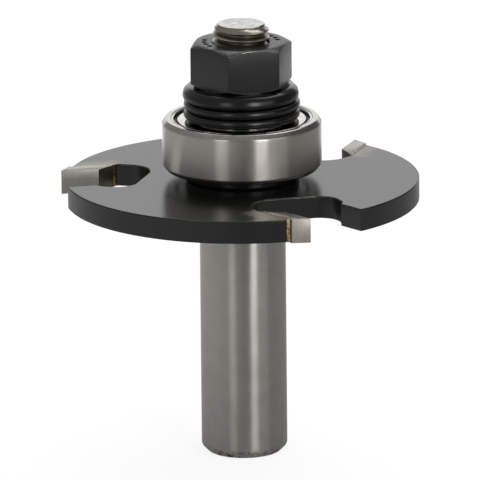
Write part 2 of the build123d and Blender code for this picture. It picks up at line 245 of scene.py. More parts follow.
def threaded_steel():
    """The stud's thread, cut and then rolled bright. Oil and dust have turned the roots
    brown, and the crests are rubbed clean."""
    material, tree, shader, place = new_material(
        "threaded_steel", Metallic=1.0, Anisotropic=0.6, Anisotropic_Rotation=0.25
    )
    flat = add(tree, "VectorMath", {0: place, 1: (1, 1, 0)}, operation="MULTIPLY")
    reach = add(tree, "VectorMath", {0: flat}, operation="LENGTH").outputs["Value"]
    height = add(tree, "SeparateXYZ", {"Vector": place}).outputs["Z"]
    # The depth is taken from the crest, or from the cone of the end's chamfer.
    chamfer = add(
        tree, "Math", {0: STUD_RADIUS - STUD_END_CHAMFER + arbor_high.z, 1: height},
        operation="SUBTRACT",
    )
    crest = add(tree, "Math", {0: chamfer, 1: STUD_RADIUS}, operation="MINIMUM")
    depth = add(tree, "Math", {0: crest, 1: reach}, operation="SUBTRACT")
    # Dust lies in streaks along the thread's turns.
    streaks = add(tree, "Mapping", {"Vector": place, "Scale": (1, 1, 2.5)})
    dust = add(tree, "TexNoise", {"Vector": streaks, "Scale": grains(0.9), "Detail": 4})
    uneven = add(tree, "Math", {0: dust, 1: THREAD_DUST_UNEVENNESS}, operation="MULTIPLY")
    dusty = add(tree, "Math", {0: depth, 1: uneven}, operation="ADD")
    clean = add(
        tree, "MapRange",
        {"Value": dusty, "From Min": THREAD_DUST_DEPTH, "From Max": THREAD_RUBBED_DEPTH},
        interpolation_type="SMOOTHSTEP",
    )
    colour = add(tree, "Mix", {"Factor": clean, "A": "#6b6253", "B": "#a8a197"}, data_type="RGBA")
    rough = add(tree, "MapRange", {"Value": clean, "To Min": 0.4, "To Max": 0.24})
    bump = add(tree, "Bump", {"Height": dust, "Distance": 0.02 * MM, "Strength": 0.4})
    tangent = add(tree, "Tangent", direction_type="RADIAL", axis="Z")
    wire(tree, shader, Base_Color=colour, Roughness=rough, Normal=bump, Tangent=tangent)
    return material


def faced_steel():
    """The stud's end, faced off and left bright, with fine mottling from handling."""
    material, tree, shader, place = new_material("faced_steel", Metallic=1.0)
    mottle = add(tree, "TexNoise", {"Vector": place, "Scale": grains(0.7), "Detail": 5})
    share = add(tree, "MapRange", {"Value": mottle, "From Min": 0.35, "From Max": 0.65})
    colour = add(tree, "Mix", {"Factor": share, "A": "#b6b3b0", "B": "#e6e4e2"}, data_type="RGBA")
    rough = add(
        tree, "MapRange",
        {"Value": mottle, "From Min": 0.3, "From Max": 0.7, "To Min": 0.28, "To Max": 0.42},
    )
    bump = add(tree, "Bump", {"Height": mottle, "Distance": 0.01 * MM, "Strength": 0.6})
    wire(tree, shader, Base_Color=colour, Roughness=rough, Normal=bump)
    return material


def black_coating():
    """A thin baked black coating on the ground disc. It is smooth enough to mirror softly
    at a low angle, and the cut walls are a little coarser, with upright marks. Bare steel
    shows beside each tip, where the coating was ground away with the carbide, and along
    parts of the gullets' edges."""
    material, tree, shader, place = new_material("black_coating", IOR=1.5)
    normal = add(tree, "NewGeometry").outputs["True Normal"]
    upward = add(tree, "SeparateXYZ", {"Vector": normal}).outputs["Z"]
    facing = add(tree, "Math", {0: upward}, operation="ABSOLUTE")
    flat = add(tree, "MapRange", {"Value": facing, "From Min": 0.8, "From Max": 0.95})

    ragged = add(tree, "TexNoise", {"Vector": place, "Scale": grains(1.1), "Detail": 4})
    wander = add(tree, "Math", {0: ragged, 1: BARE_RAGGEDNESS}, operation="MULTIPLY")
    patches = 0.0
    for wing in range(WING_COUNT):
        # In the turned frame X runs inwards along the rake face and Y runs behind it.
        turn = -(FIRST_TIP_ANGLE + wing * 2 * math.pi / WING_COUNT + HOOK_ANGLE + math.pi)
        corner = (CUTTING_RADIUS * math.cos(HOOK_ANGLE), -CUTTING_RADIUS * math.sin(HOOK_ANGLE), 0)
        local = add(
            tree, "Mapping", {"Vector": place, "Rotation": (0, 0, turn), "Location": corner}
        )
        inward, behind = add(tree, "SeparateXYZ", {"Vector": local}).outputs[:2]
        borders = (
            (add(tree, "Math", {0: behind, 1: wander}, operation="ADD"), BARE_BEHIND_RAKE, "SMOOTHSTEP"),
            (add(tree, "Math", {0: inward, 1: wander}, operation="ADD"), BARE_INWARD, "SMOOTHSTEP"),
            (behind, BARE_FROM_RAKE, "LINEAR"),
            (inward, BARE_OUTWARD, "LINEAR"),
        )
        patch = 1.0
        for distance, (bare_at, coated_at), fade in borders:
            share = add(
                tree, "MapRange", {"Value": distance, "From Min": coated_at, "From Max": bare_at},
                interpolation_type=fade,
            )
            patch = add(tree, "Math", {0: patch, 1: share}, operation="MULTIPLY")
        patches = add(tree, "Math", {0: patches, 1: patch}, operation="MAXIMUM")
    ground = add(tree, "Math", {0: patches, 1: flat}, operation="MULTIPLY")

    # The gullets' edges are rubbed bright in places; the outer rim keeps its coating.
    rounded = add(tree, "Bevel", {"Radius": WORN_EDGE_WIDTH}, samples=6)
    likeness = add(tree, "VectorMath", {0: rounded, 1: normal}, operation="DOT_PRODUCT")
    edge = add(
        tree, "MapRange",
        {"Value": likeness.outputs["Value"], "From Min": 0.97, "From Max": 0.85},
    )
    level = add(tree, "VectorMath", {0: place, 1: (1, 1, 0)}, operation="MULTIPLY")
    reach = add(tree, "VectorMath", {0: level}, operation="LENGTH").outputs["Value"]
    inside = add(
        tree, "MapRange",
        {"Value": reach, "From Min": WORN_EDGE_LAST_RADIUS, "From Max": WORN_EDGE_FULL_RADIUS},
    )
    rubbed = add(tree, "MapRange", {"Value": ragged, "From Min": 0.34, "From Max": 0.5})
    worn = add(tree, "Math", {0: edge, 1: inside}, operation="MULTIPLY")
    worn = add(tree, "Math", {0: worn, 1: rubbed}, operation="MULTIPLY")
    bare = add(tree, "Math", {0: ground, 1: worn}, operation="MAXIMUM")

    # The coating's real grain is about 0.05 mm: it is drawn at 0.25 mm, so it shows.
    grit = add(tree, "TexNoise", {"Vector": place, "Scale": grains(0.25), "Detail": 3})
    upright = add(tree, "Mapping", {"Vector": place, "Scale": (1, 1, 0.06)})
    marks = add(tree, "TexNoise", {"Vector": upright, "Scale": grains(0.5), "Detail": 4})
    black = add(tree, "Mix", {"Factor": grit, "A": "#0d0d0c", "B": "#181817"}, data_type="RGBA")
    wall = add(tree, "Mix", {"Factor": marks, "A": "#0f0f0e", "B": "#232321"}, data_type="RGBA")
    coat = add(tree, "Mix", {"Factor": flat, "A": wall, "B": black}, data_type="RGBA")
    steel = add(tree, "Mix", {"Factor": worn, "A": "#8f8a83", "B": "#c4c0ba"}, data_type="RGBA")
    colour = add(tree, "Mix", {"Factor": bare, "A": coat, "B": steel}, data_type="RGBA")
    coat_rough = add(tree, "MapRange", {"Value": flat, "To Min": 0.26, "To Max": 0.22})
    rough = add(tree, "MapRange", {"Value": bare, "To Min": coat_rough, "To Max": 0.36})
    height = add(tree, "Mix", {"Factor": flat, "A": marks, "B": grit})
    bump = add(
        tree, "Bump",
        {"Height": height, "Distance": 0.004 * MM, "Strength": 0.6, "Normal": rounded},
    )
    wire(tree, shader, Base_Color=colour, Roughness=rough, Metallic=bare, Normal=bump)
    return material


def black_oxide(name, dark, light, roughness, face_roughness, grain):
    """Steel blackened in a hot salt bath and oiled: a thin black skin with a soft gloss.
    Faces that look up or down were stamped, so their gloss differs from the sides'."""
    material, tree, shader, place = new_material(name, IOR=1.5)
    normal = add(tree, "NewGeometry").outputs["True Normal"]
    upward = add(tree, "SeparateXYZ", {"Vector": normal}).outputs["Z"]
    facing = add(tree, "Math", {0: upward}, operation="ABSOLUTE")
    flat = add(tree, "MapRange", {"Value": facing, "From Min": 0.75, "From Max": 0.95})
    mottle = add(tree, "TexNoise", {"Vector": place, "Scale": grains(grain), "Detail": 5})
    base = add(tree, "Mix", {"Factor": mottle, "A": dark, "B": light}, data_type="RGBA")
    even = add(tree, "MapRange", {"Value": flat, "To Min": roughness, "To Max": face_roughness})
    uneven = add(
        tree, "MapRange",
        {"Value": mottle, "From Min": 0.3, "From Max": 0.7, "To Min": -0.03, "To Max": 0.03},
    )
    rough = add(tree, "Math", {0: even, 1: uneven}, operation="ADD")
    bump = add(tree, "Bump", {"Height": mottle, "Distance": 0.004 * MM, "Strength": 0.4})
    wire(tree, shader, Base_Color=base, Roughness=rough, Normal=bump)
    return material


def paint_shade_in_punch_marks(material):
    """Paints shade into the dots punched in the nut's upper face: near black, darker than the face."""
    tree = material.node_tree
    shader = tree.nodes["Principled BSDF"]
    place = next(n for n in tree.nodes if n.type == "TEX_COORD").outputs["Object"]
    base = shader.inputs["Base Color"].links[0].from_socket
    nearest = None
    for spot in nut_marks:
        gap = add(tree, "VectorMath", {0: place, 1: spot}, operation="DISTANCE").outputs["Value"]
        if nearest:
            gap = add(tree, "Math", {0: nearest, 1: gap}, operation="MINIMUM")
        nearest = gap
    clear = add(
        tree, "MapRange",
        {"Value": nearest, "From Min": NUT_MARK_SIZE * 0.35, "From Max": NUT_MARK_SIZE * 0.6},
        interpolation_type="SMOOTHSTEP",
    )
    # Painted shade: the dots turn near black and lose their gloss.
    colour = add(tree, "Mix", {"Factor": clear, "A": "#020202", "B": base}, data_type="RGBA")
    gloss = add(tree, "MapRange", {"Value": clear, "To Max": 0.5})
    wire(tree, shader, Base_Color=colour, Specular_IOR_Level=gloss)


def worn_edge():
    """The nut's arched edges, where a wrench has rubbed the black skin through in places."""
    material, tree, shader, place = new_material("worn_black_edge")
    rub = add(tree, "TexNoise", {"Vector": place, "Scale": grains(1.6), "Detail": 4})
    bare = add(tree, "MapRange", {"Value": rub, "From Min": 0.4, "From Max": 0.56, "To Max": 0.9})
    colour = add(tree, "Mix", {"Factor": bare, "A": "#2a2a29", "B": "#9c9a97"}, data_type="RGBA")
    rough = add(tree, "MapRange", {"Value": bare, "To Min": 0.34, "To Max": 0.28})
    wire(tree, shader, Base_Color=colour, Roughness=rough, Metallic=bare)
    return material


def carbide(name, dark, light, roughness, line_stretch):
    """Sintered tungsten carbide in a cobalt binder. Diamond grinding leaves it a dense
    warm grey with fine straight lines across the face. Its sintered skin, which has the
    same stretch all ways, has no lines, and is darker partly for being unground and
    partly as painted shade."""
    material, tree, shader, place = new_material(name, Metallic=1.0)
    # Real grinding lines are about 0.01 mm apart: these are drawn at 0.18 mm, so they show.
    drawn = add(tree, "Mapping", {"Vector": place, "Scale": line_stretch})
    lines = add(tree, "TexNoise", {"Vector": drawn, "Scale": grains(0.18), "Detail": 4})
    share = add(tree, "MapRange", {"Value": lines, "From Min": 0.35, "From Max": 0.65})
    colour = add(tree, "Mix", {"Factor": share, "A": dark, "B": light}, data_type="RGBA")
    rough = add(
        tree, "MapRange",
        {"Value": lines, "From Min": 0.3, "From Max": 0.7,
         "To Min": roughness - 0.03, "To Max": roughness + 0.03},
    )
    bump = add(tree, "Bump", {"Height": lines, "Distance": 0.0015 * MM, "Strength": 0.5})
    wire(tree, shader, Base_Color=colour, Roughness=rough, Normal=bump)
    return material


def braze_metal():
    """Brazing alloy that flowed in the joint: copper where the flux was hot, gold where the
    silver gathered, in a lumpy bead that catches the light. It is paler where it was ground
    flush with the sides."""
    material, tree, shader, place = new_material("braze_metal", Metallic=1.0)
    flow = add(tree, "TexNoise", {"Vector": place, "Scale": grains(0.9), "Detail": 3})
    share = add(tree, "MapRange", {"Value": flow, "From Min": 0.42, "From Max": 0.58})
    alloy = add(tree, "Mix", {"Factor": share, "A": "#b0704f", "B": "#e2cfa4"}, data_type="RGBA")
    height = add(tree, "SeparateXYZ", {"Vector": place}).outputs["Z"]
    middle = (cutter_low.z + cutter_high.z) / 2
    side = cutter_high.z - middle
    off_middle = add(tree, "Math", {0: height, 1: middle}, operation="SUBTRACT")
    off_middle = add(tree, "Math", {0: off_middle}, operation="ABSOLUTE")
    flush = add(
        tree, "MapRange",
        {"Value": off_middle, "From Min": side - 0.2 * MM, "From Max": side - 0.12 * MM,
         "To Max": 0.85},
    )
    colour = add(tree, "Mix", {"Factor": flush, "A": alloy, "B": "#9a948b"}, data_type="RGBA")
    lumps = add(tree, "TexNoise", {"Vector": place, "Scale": grains(0.3), "Detail": 4})
    rough = add(
        tree, "MapRange",
        {"Value": lumps, "From Min": 0.3, "From Max": 0.7, "To Min": 0.18, "To Max": 0.4},
    )
    bump = add(tree, "Bump", {"Height": lumps, "Distance": 0.06 * MM, "Strength": 0.8})
    wire(tree, shader, Base_Color=colour, Roughness=rough, Normal=bump)
    return material


def bright_steel(name, dark, light, roughness):
    """Bright steel without a grain, slightly clouded from handling. It mirrors the room
    softly, so that flat faces turn from white to dark with their slope."""
    material, tree, shader, place = new_material(name, Metallic=1.0)
    cloud = add(tree, "TexNoise", {"Vector": place, "Scale": grains(0.8), "Detail": 4})
    share = add(tree, "MapRange", {"Value": cloud, "From Min": 0.35, "From Max": 0.65})
    colour = add(tree, "Mix", {"Factor": share, "A": dark, "B": light}, data_type="RGBA")
    rough = add(
        tree, "MapRange",
        {"Value": cloud, "From Min": 0.3, "From Max": 0.7,
         "To Min": roughness * 0.8, "To Max": roughness * 1.2},
    )
    wire(tree, shader, Base_Color=colour, Roughness=rough)
    return material


def painted_shade_finish():
    """Painted shade for the shield's groove: nearly black, with a dull shine."""
    material, tree, shader, place = new_material("painted_groove_shade", IOR=1.48)
    lumps = add(tree, "TexNoise", {"Vector": place, "Scale": grains(0.5), "Detail": 4})
    colour = add(tree, "Mix", {"Factor": lumps, "A": "#0b0a07", "B": "#28241c"}, data_type="RGBA")
    rough = add(
        tree, "MapRange",
        {"Value": lumps, "From Min": 0.3, "From Max": 0.7, "To Min": 0.3, "To Max": 0.55},
    )
    bump = add(tree, "Bump", {"Height": lumps, "Distance": 0.05 * MM, "Strength": 0.5})
    wire(tree, shader, Base_Color=colour, Roughness=rough, Normal=bump)
    return material


def polished_steel():
    """Lapped bearing balls: mirror bright under a film of grease."""
    material, tree, shader, place = new_material("polished_steel", Metallic=1.0)
    film = add(tree, "TexNoise", {"Vector": place, "Scale": grains(1.5), "Detail": 2})
    colour = add(tree, "Mix", {"Factor": film, "A": "#c4c2bd", "B": "#dedddb"}, data_type="RGBA")
    rough = add(
        tree, "MapRange",
        {"Value": film, "From Min": 0.3, "From Max": 0.7, "To Min": 0.05, "To Max": 0.12},
    )
    wire(tree, shader, Base_Color=colour, Roughness=rough)
    return material


shank_steel = ground_steel("ground_shank_steel", "#bbb7b1", "#c6c3bd", 0.32, 0.95)
stain_foot(shank_steel)
journal_steel = ground_steel("turned_stud_steel", "#a9a296", "#bdb6aa", 0.3, 0.6)
ring_steel = ground_steel("ground_ring_steel", "#c0bbb5", "#cbc6c0", 0.3, 0.95)
thread_steel = threaded_steel()
stud_end_steel = faced_steel()
coating = black_coating()
spacer_black = black_oxide("oiled_black_spacer", "#080807", "#10100f", 0.24, 0.14, 1.2)
nut_black = black_oxide("black_nut", "#212120", "#282827", 0.3, 0.33, 1.5)
paint_shade_in_punch_marks(nut_black)
nut_edge = worn_edge()
# All faces of the tips are one carbide. Their tones differ partly with the grinding and partly as
# painted light and shade: the relief is made lighter and the skin darker, to stand in for how light
# falls on them.
carbide_side = carbide("ground_carbide_side", "#9c968e", "#aea9a1", 0.3, (1, 0.1, 1))
carbide_relief = carbide("ground_carbide_relief", "#c5beb4", "#ccc5bb", 0.5, (1, 1, 0.1))
carbide_rake = carbide("ground_carbide_rake", "#a9a59f", "#b0aca6", 0.45, (1, 1, 0.1))
carbide_skin_and_shade = carbide("sintered_carbide_skin", "#6f6a5e", "#7b7669", 0.45, (1, 1, 1))
brazing = braze_metal()
sheet_steel = bright_steel("pressed_steel", "#c2c0ba", "#d2d0ca", 0.07)
ring_face_steel = bright_steel("turned_ring_steel", "#b8b4ae", "#c6c2bc", 0.17)
# Near-black painted shade for the grooves of the shields.
groove_shade_material = painted_shade_finish()
ball_steel = polished_steel()


# Modelling

def turned(corners):
    """Spins an outline of (radius, height, rounding) corners about the axis. An outline that
    starts on the axis also ends there; any other is closed first."""
    bm = bmesh.new()
    points = [bm.verts.new((radius, 0, height)) for radius, height, _ in corners]
    for first, second in zip(points, points[1:]):
        bm.edges.new((first, second))
    if corners[0][0] > 0:
        bm.edges.new((points[-1], points[0]))
    for point, (_, _, rounding) in zip(points, corners):
        if rounding > 0:
            bmesh.ops.bevel(
                bm, geom=[point], offset=rounding, offset_type="OFFSET", affect="VERTICES",
                segments=ROUNDING_STEPS, profile=0.5, material=-1,
            )
    bmesh.ops.spin(
        bm, geom=bm.verts[:] + bm.edges[:], cent=(0, 0, 0), axis=(0, 0, 1), dvec=(0, 0, 0),
        angle=2 * math.pi, steps=TURN_STEPS, use_merge=True,
    )
    bmesh.ops.remove_doubles(bm, verts=bm.verts[:], dist=MERGE_DISTANCE)
    bmesh.ops.recalc_face_normals(bm, faces=bm.faces[:])
    return bm


def finished(name, bm, body, slot, materials, *nodes):
    """Turns the mesh into a piece that rides on a body and stands for these CAD nodes."""
    mesh = bpy.data.meshes.new(name)
    bm.to_mesh(mesh)
    bm.free()
    for material in materials:
        mesh.materials.append(material)
    mesh.shade_smooth()
    mesh.set_sharp_from_angle(angle=SHARP_ANGLE)
    piece = bpy.data.objects.new(name, mesh)
    bpy.context.scene.collection.objects.link(piece)
    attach(piece, body)
    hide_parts(*nodes)


def bevel_edges(bm, edges, width, segments):
    """Rounds these edges by this width, in so many steps."""
    bmesh.ops.bevel(
        bm, geom=edges, offset=width, offset_type="OFFSET", affect="EDGES",
        segments=segments, profile=0.5, material=-1,
    )


def add_thread(bm):
    """Adds the stud's thread: one pitch of its outline, spun up a right-handed helix, cut
    level at both ends, and chamfered at the top."""
    flank = (THREAD_PITCH - THREAD_CREST - THREAD_ROOT) / 2
    root = STUD_RADIUS - THREAD_DEPTH
    outline = (
        (root, 0),
        (root, THREAD_ROOT),
        (STUD_RADIUS, THREAD_ROOT + flank),
        (STUD_RADIUS, THREAD_ROOT + flank + THREAD_CREST),
        (root, THREAD_PITCH),
    )
    thread = bmesh.new()
    start = JOURNAL_TOP - 2 * THREAD_PITCH
    points = [thread.verts.new((radius, 0, start + rise)) for radius, rise in outline]
    for first, second in zip(points, points[1:]):
        thread.edges.new((first, second))
    turns = math.ceil((arbor_high.z - start) / THREAD_PITCH) + 1
    bmesh.ops.spin(
        thread, geom=thread.verts[:] + thread.edges[:], cent=(0, 0, 0), axis=(0, 0, 1),
        dvec=(0, 0, THREAD_PITCH / THREAD_STEPS), angle=-2 * math.pi * turns,
        steps=THREAD_STEPS * turns, use_merge=False,
    )
    bmesh.ops.remove_doubles(thread, verts=thread.verts[:], dist=MERGE_DISTANCE)
    # Level cuts drop what is above the stud's end and well below the nut's face. More of them
    # drop nothing, and give the chamfer its own edges across the thread.
    cuts = [(arbor_high.z, True, False), (JOURNAL_TOP - THREAD_PITCH / 2, False, True)]
    for cut in range(1, THREAD_CHAMFER_CUTS + 1):
        cuts.append((arbor_high.z - cut * STUD_END_CHAMFER / THREAD_CHAMFER_CUTS, False, False))
    for height, drop_above, drop_below in cuts:
        bmesh.ops.bisect_plane(
            thread, geom=thread.verts[:] + thread.edges[:] + thread.faces[:],
            dist=MERGE_DISTANCE / 10, plane_co=(0, 0, height), plane_no=(0, 0, 1),
            clear_outer=drop_above, clear_inner=drop_below,
        )
    for vert in thread.verts:
        limit = STUD_RADIUS - STUD_END_CHAMFER + (arbor_high.z - vert.co.z)
        radius = vert.co.xy.length
        if radius > limit:
            vert.co.xy *= limit / radius
    bmesh.ops.holes_fill(thread, edges=[e for e in thread.edges if e.is_boundary], sides=0)
    bmesh.ops.recalc_face_normals(thread, faces=thread.faces[:])
    part = bpy.data.meshes.new("thread")
    thread.to_mesh(part)
    thread.free()
    bm.from_mesh(part)
    bpy.data.meshes.remove(part)


def make_arbor():
    """The ground shank and the turned stud in one, with the thread added at the top."""
    bm = turned((
        (0, arbor_low.z, 0),
        (shank_radius - SHANK_END_CHAMFER, arbor_low.z, SHANK_EDGE_ROUNDING / 2),
        (shank_radius, arbor_low.z + SHANK_END_CHAMFER, SHANK_EDGE_ROUNDING),
        (shank_radius, cutter_low.z - SHOULDER_CHAMFER, SHOULDER_CHAMFER / 4),
        (shank_radius - SHOULDER_CHAMFER, cutter_low.z, 0),
        (STUD_RADIUS, cutter_low.z, 0),
        (STUD_RADIUS, JOURNAL_TOP, 0),
        (0, JOURNAL_TOP, 0),
    ))
    add_thread(bm)
    journal, stud_end, threads = 1, 2, 3
    for face in bm.faces:
        height = face.calc_center_median().z
        if face.normal.z > 0.9 and height > arbor_high.z - MERGE_DISTANCE:
            face.material_index = stud_end
        elif height > JOURNAL_TOP - THREAD_PITCH:
            face.material_index = threads
        elif height > cutter_low.z:
            face.material_index = journal
    finished(
        "arbor_turned", bm, "arbor_assembly", "arbor_steel",
        (shank_steel, journal_steel, stud_end_steel, thread_steel), "arbor",
    )


def make_spacers():
    """The lower spacer has barely broken edges, the upper ones have round rims, and the top
    one ends in a round shoulder under the nut."""
    round_rim = UPPER_SPACER_FILLET
    edges = {
        "lower_spacer": (LOWER_SPACER_FILLET, LOWER_SPACER_FILLET),
        "upper_spacer_1": (round_rim, round_rim),
        "upper_spacer_2": (round_rim, round_rim),
        "upper_spacer_3": (round_rim, TOP_SPACER_SHOULDER),
    }
    for node, (lower_edge, upper_edge) in edges.items():
        low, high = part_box(node)
        radius = (high.x - low.x) / 2
        bm = turned((
            (SPACER_BORE_RADIUS, low.z, SPACER_BORE_BREAK),
            (radius, low.z, lower_edge),
            (radius, high.z, upper_edge),
            (SPACER_BORE_RADIUS, high.z, SPACER_BORE_BREAK),
        ))
        bmesh.ops.translate(bm, verts=bm.verts[:], vec=((low.x + high.x) / 2, 0, 0))
        finished(
            f"{node}_ring", bm, "arbor_assembly", "black_oxide_steel", (spacer_black,), node
        )


def make_outer_ring():
    """The outer ring, with chamfered rims, a seat for each shield and a round race between
    them. Its end faces are turned, and the rest is ground."""
    low, high = bearing_low.z, bearing_high.z
    half_angle = math.acos((RACE_RADIUS - RACE_DEPTH) / RACE_RADIUS)
    groove_centre = RING_LAND_RADIUS + RACE_DEPTH - RACE_RADIUS
    groove_half = RACE_RADIUS * math.sin(half_angle)
    seat = SHIELD_SEAT_RADIUS
    flat = bearing_radius - RING_CHAMFER_WIDTH
    small = RING_EDGE_ROUNDING
    bm = turned((
        (RING_LAND_RADIUS, high - SHIELD_SEAT_DEPTH, 0),
        (seat, high - SHIELD_SEAT_DEPTH, 0),
        (seat, high, small / 2),
        (flat, high, small),
        (bearing_radius, high - RING_CHAMFER_HEIGHT, small),
        (bearing_radius, low + RING_CHAMFER_HEIGHT, small),
        (flat, low, small),
        (seat, low, small / 2),
        (seat, low + SHIELD_SEAT_DEPTH, 0),
        (RING_LAND_RADIUS, low + SHIELD_SEAT_DEPTH, 0),
        (RING_LAND_RADIUS, bearing_middle - groove_half, 0),
        # A corner beyond the race, rounded back to the race's own radius.
        (groove_centre + RACE_RADIUS / math.cos(half_angle), bearing_middle,
         RACE_RADIUS * math.tan(half_angle)),
        (RING_LAND_RADIUS, bearing_middle + groove_half, 0),
    ))
    end_face = 1
    for face in bm.faces:
        if abs(face.normal.z) > 0.5:
            face.material_index = end_face
    finished(
        "outer_ring_ground", bm, "bearing_rim", "bearing_steel", (ring_steel, ring_face_steel),
        "bearing_outer_ring",
    )


def make_shields():
    """Two pressed shields, alike but for which way up they sit. The outline runs along the
    sheet's outer side, over the rim's bead, through the pressed groove and along the plate,
    then back along its inner side."""
    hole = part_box("bearing_inner_ring")[1].x + SHIELD_INNER_GAP
    for node, flip in (("shield_upper", 1), ("shield_lower", -1)):
        low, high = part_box(node)
        rim_radius = high.x
        top = high.z if flip > 0 else low.z
        foot = low.z if flip > 0 else high.z
        bead = bearing_middle + ((bearing_high.z - bearing_low.z) / 2 - SHIELD_BEAD_DROP) * flip
        sheet = SHIELD_SHEET * flip
        groove = top - SHIELD_GROOVE_DEPTH * flip
        plate = top - SHIELD_PLATE_DROP * flip
        groove_outer = rim_radius - SHIELD_BEAD_WIDTH
        groove_inner = groove_outer - SHIELD_GROOVE_WIDTH
        slope = SHIELD_GROOVE_SLOPE
        bend = SHIELD_BEND
        # Just under half the bead's width, so the two roundings don't meet.
        round_top = SHIELD_BEAD_WIDTH * 0.48
        bm = turned((
            (rim_radius, foot, 0),
            (rim_radius, bead, round_top),
            (groove_outer, bead, round_top),
            (groove_outer - slope, groove, bend),
            (groove_inner + slope, groove, bend),
            (groove_inner, plate, bend),
            (hole, plate, bend / 2),
            (hole, plate - sheet, bend / 2),
            (groove_inner - SHIELD_SHEET, plate - sheet, 0),
            (groove_inner - SHIELD_SHEET, groove - sheet, bend),
            (rim_radius - SHIELD_SHEET, groove - sheet, 0),
            (rim_radius - SHIELD_SHEET, foot, 0),
        ))
        # Painted shade lies on the floor and the lower walls of the groove.
        painted_shade_slot = 1
        for face in bm.faces:
            spot = face.calc_center_median()
            inside = groove_inner - slope / 2 < spot.xy.length < groove_outer + slope / 4
            deep = abs(spot.z - bead) > SHIELD_GROOVE_DEPTH * 0.5
            if inside and deep and face.normal.z * flip > -0.5:
                face.material_index = painted_shade_slot
        finished(
            f"{node}_pressed", bm, "bearing_rim", "pressed_steel",
            (sheet_steel, groove_shade_material), node,
        )


def make_nut():
    """A hexagon nut, drawn from its bore outwards, up and back as a ring of edges. Where the
    ring lies on the hexagon, the 30 degree cone cuts a curve across each flat."""
    bm = bmesh.new()
    face_radius = NUT_ACROSS_FLATS / 2 - NUT_FACE_INSET
    corner_radius = NUT_ACROSS_FLATS / math.sqrt(3)
    bottom, top = nut_low.z, nut_high.z
    # A radius of 0 stands for the hexagon's own, which changes round the nut.
    on_hexagon = 0
    outline = [
        (NUT_BORE_RADIUS, bottom + NUT_COUNTERSINK),
        (NUT_BORE_RADIUS + NUT_COUNTERSINK, bottom),
        (face_radius, bottom),
        (on_hexagon, bottom),
        (on_hexagon, top),
        (face_radius, top),
    ]
    # Close rings across the punched dots, from just outside them to just inside.
    for ring in range(NUT_MARK_RINGS + 1):
        offset = NUT_MARK_SIZE * (0.6 - 1.2 * ring / NUT_MARK_RINGS)
        outline.append((NUT_MARK_RADIUS + offset, top))
    outline += [
        (NUT_BORE_RADIUS + NUT_COUNTERSINK, top),
        (NUT_BORE_RADIUS, top - NUT_COUNTERSINK),
        (NUT_BORE_RADIUS, bottom + NUT_COUNTERSINK),
    ]

    def hexagon_radius(point):
        """How far out the hexagon lies on this point's side."""
        angle = math.atan2(point.y, point.x) - NUT_TURN
        from_flat = (angle + 2 * math.pi) % (math.pi / 3) - math.pi / 6
        return NUT_ACROSS_FLATS / 2 / math.cos(from_flat)

    def settle(verts, radius, height):
        """Puts a ring of vertices at this radius and height, on the hexagon's cone, or down
        in the punched dots."""
        for vert in verts:
            reach, level = radius, height
            if radius == on_hexagon:
                reach = hexagon_radius(vert.co)
                drop = (reach - face_radius) * math.tan(NUT_CHAMFER_ANGLE)
                level += drop if height == bottom else -drop
            elif height == top:
                spot = vert.co.xy * radius / vert.co.xy.length
                gap = min((spot - mark.xy).length for mark in nut_marks)
                level -= NUT_MARK_DEPTH * max(0, 1 - (2 * gap / NUT_MARK_SIZE) ** 2)
            vert.co.xy *= reach / vert.co.xy.length
            vert.co.z = level

    start = bmesh.ops.create_circle(
        bm, cap_ends=False, radius=NUT_BORE_RADIUS, segments=6 * NUT_STEPS_PER_FLAT
    )["verts"]
    turn = Quaternion((0, 0, 1), NUT_TURN).to_matrix()
    bmesh.ops.rotate(bm, verts=start, cent=(0, 0, 0), matrix=turn)
    settle(start, *outline[0])
    edges = bm.edges[:]
    for radius, height in outline[1:]:
        drawn = bmesh.ops.extrude_edge_only(bm, edges=edges)["geom"]
        verts = [part for part in drawn if isinstance(part, bmesh.types.BMVert)]
        edges = [
            part for part in drawn
            if isinstance(part, bmesh.types.BMEdge) and all(v in verts for v in part.verts)
        ]
        settle(verts, radius, height)
    bmesh.ops.remove_doubles(bm, verts=bm.verts[:], dist=MERGE_DISTANCE)
    bmesh.ops.recalc_face_normals(bm, faces=bm.faces[:])
    corners = [
        edge for edge in bm.edges
        if abs(edge.verts[0].co.z - edge.verts[1].co.z) > (top - bottom) / 2
        and edge.verts[0].co.xy.length > corner_radius - MERGE_DISTANCE
    ]
    bevel_edges(bm, corners, NUT_EDGE_ROUNDING, 3)
    # An arc joins an upright flat to the cone.
    arcs = []
    for edge in bm.edges:
        slopes = sorted(abs(face.normal.z) for face in edge.link_faces)
        if slopes[0] < 0.1 and slopes[1] > 0.5 and edge.verts[0].co.xy.length > face_radius:
            arcs.append(edge)
    bevel_edges(bm, arcs, NUT_ARC_ROUNDING, 2)
    rubbed = 1
    for face in bm.faces:
        if 0.1 < abs(face.normal.z) < 0.8 and face.calc_center_median().xy.length > face_radius:
            face.material_index = rubbed
    finished(
        "hex_nut_black", bm, "arbor_assembly", "black_oxide_steel", (nut_black, nut_edge),
        "hex_nut",
    )


def merged_copy(node):
    """The node's own mesh as flat faces, with its loose triangles merged."""
    bm = bmesh.new()
    bm.from_mesh(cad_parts[node].data)
    bmesh.ops.remove_doubles(bm, verts=bm.verts[:], dist=MERGE_DISTANCE)
    bmesh.ops.dissolve_limit(
        bm, angle_limit=math.radians(0.5), verts=bm.verts[:], edges=bm.edges[:]
    )
    return bm


